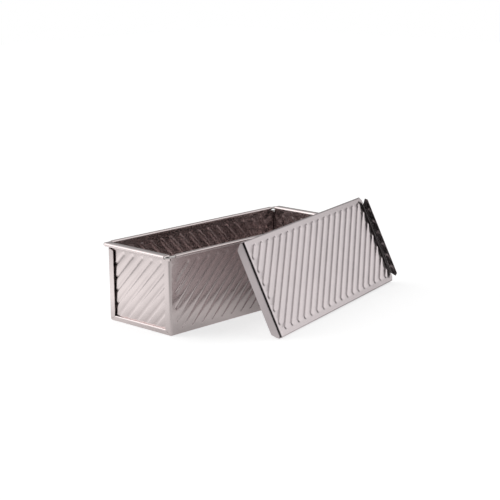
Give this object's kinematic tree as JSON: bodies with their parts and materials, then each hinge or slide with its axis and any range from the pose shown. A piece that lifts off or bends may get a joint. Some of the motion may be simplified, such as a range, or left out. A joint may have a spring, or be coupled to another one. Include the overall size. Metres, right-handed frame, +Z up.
{
  "type": "pullman loaf pan",
  "caption": "Long straight-sided loaf pan of grooved sheet metal with wired rims, framed ends and a grooved sliding lid, lid off and leaning on the rim.",
  "frame": {"origin": "middle of the pan's base, on the surface it stands on", "axes": "+X along the pan towards the end that the lid leans past, +Y across the pan away from the leaning lid, +Z up"},
  "size_m": [0.4369, 0.2449, 0.1248],
  "materials": {
    "wrapper_coat": "semi-gloss champagne metallic non-stick coat",
    "end_coat": "semi-gloss champagne metallic non-stick coat",
    "lid_coat": "semi-gloss champagne metallic non-stick coat",
    "wire": "coated steel wire"
  },
  "bodies": {
    "pan": {"wrapper": "wrapper_coat", "end_panel_left": "end_coat", "end_panel_right": "end_coat", "rim_wire": "wire"},
    "lid": {"lid": "lid_coat"}
  },
  "joints": [
    {"name": "lid_slide", "type": "slide", "parent": "pan", "child": "lid", "axis": [1, 0, 0], "range_m": [0, 0.36]}
  ]
}
